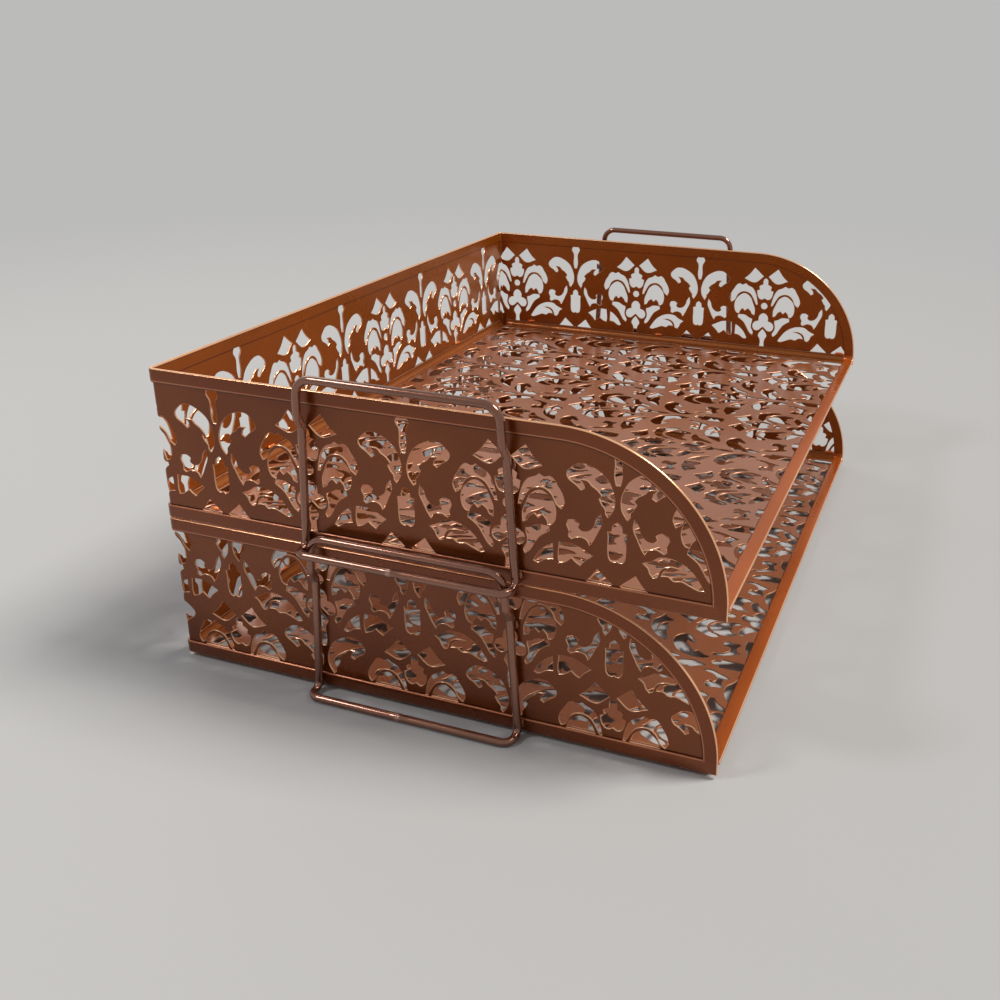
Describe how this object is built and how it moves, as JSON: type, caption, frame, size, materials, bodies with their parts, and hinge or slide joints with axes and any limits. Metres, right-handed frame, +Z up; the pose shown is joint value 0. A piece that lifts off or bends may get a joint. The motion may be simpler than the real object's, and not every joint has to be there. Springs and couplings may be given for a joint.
{
  "type": "stacking letter tray",
  "caption": "Stack of open-front letter trays in copper-coloured perforated damask sheet, with curved front ends and wire loops at the sides that nest and lift apart.",
  "frame": {"origin": "middle of the stack's footprint, on the surface that the lower tray's two bottom bars stand on", "axes": "+Z up; +X along the tray's long side, towards the right; the open long side faces -Y and the rear wall is at +Y"},
  "size_m": [0.3664, 0.245, 0.1426],
  "materials": {
    "copper_paint": "satin-gloss metallic copper paint on sheet steel",
    "copper_paint_edge": "metallic copper paint, polished by handling, on steel edge strip",
    "wire_paint": "glossy metallic copper paint on steel wire"
  },
  "bodies": {
    "lower_tray": {"lower_wall_panel": "copper_paint", "lower_rim_strip": "copper_paint_edge", "lower_skirt_strip": "copper_paint_edge", "lower_floor_pan": "copper_paint", "lower_front_strip": "copper_paint_edge", "lower_left_wire_loop": "wire_paint", "lower_left_front_upper_wire_weld": "wire_paint", "lower_left_front_lower_wire_weld": "wire_paint", "lower_left_rear_upper_wire_weld": "wire_paint", "lower_left_rear_lower_wire_weld": "wire_paint", "lower_left_front_floor_tack": "copper_paint", "lower_left_middle_floor_tack": "copper_paint", "lower_left_rear_floor_tack": "copper_paint", "lower_rear_left_floor_tack": "copper_paint", "lower_right_wire_loop": "wire_paint", "lower_right_front_upper_wire_weld": "wire_paint", "lower_right_front_lower_wire_weld": "wire_paint", "lower_right_rear_upper_wire_weld": "wire_paint", "lower_right_rear_lower_wire_weld": "wire_paint", "lower_right_front_floor_tack": "copper_paint", "lower_right_middle_floor_tack": "copper_paint", "lower_right_rear_floor_tack": "copper_paint", "lower_rear_right_floor_tack": "copper_paint"},
    "upper_tray": {"upper_wall_panel": "copper_paint", "upper_rim_strip": "copper_paint_edge", "upper_skirt_strip": "copper_paint_edge", "upper_floor_pan": "copper_paint", "upper_front_strip": "copper_paint_edge", "upper_left_wire_loop": "wire_paint", "upper_left_front_upper_wire_weld": "wire_paint", "upper_left_front_lower_wire_weld": "wire_paint", "upper_left_rear_upper_wire_weld": "wire_paint", "upper_left_rear_lower_wire_weld": "wire_paint", "upper_left_front_floor_tack": "copper_paint", "upper_left_middle_floor_tack": "copper_paint", "upper_left_rear_floor_tack": "copper_paint", "upper_rear_left_floor_tack": "copper_paint", "upper_right_wire_loop": "wire_paint", "upper_right_front_upper_wire_weld": "wire_paint", "upper_right_front_lower_wire_weld": "wire_paint", "upper_right_rear_upper_wire_weld": "wire_paint", "upper_right_rear_lower_wire_weld": "wire_paint", "upper_right_front_floor_tack": "copper_paint", "upper_right_middle_floor_tack": "copper_paint", "upper_right_rear_floor_tack": "copper_paint", "upper_rear_right_floor_tack": "copper_paint"}
  },
  "joints": [
    {"name": "upper_tray_lift", "type": "slide", "parent": "lower_tray", "child": "upper_tray", "axis": [0, 0, 1], "range_m": [0, 0.08]}
  ]
}
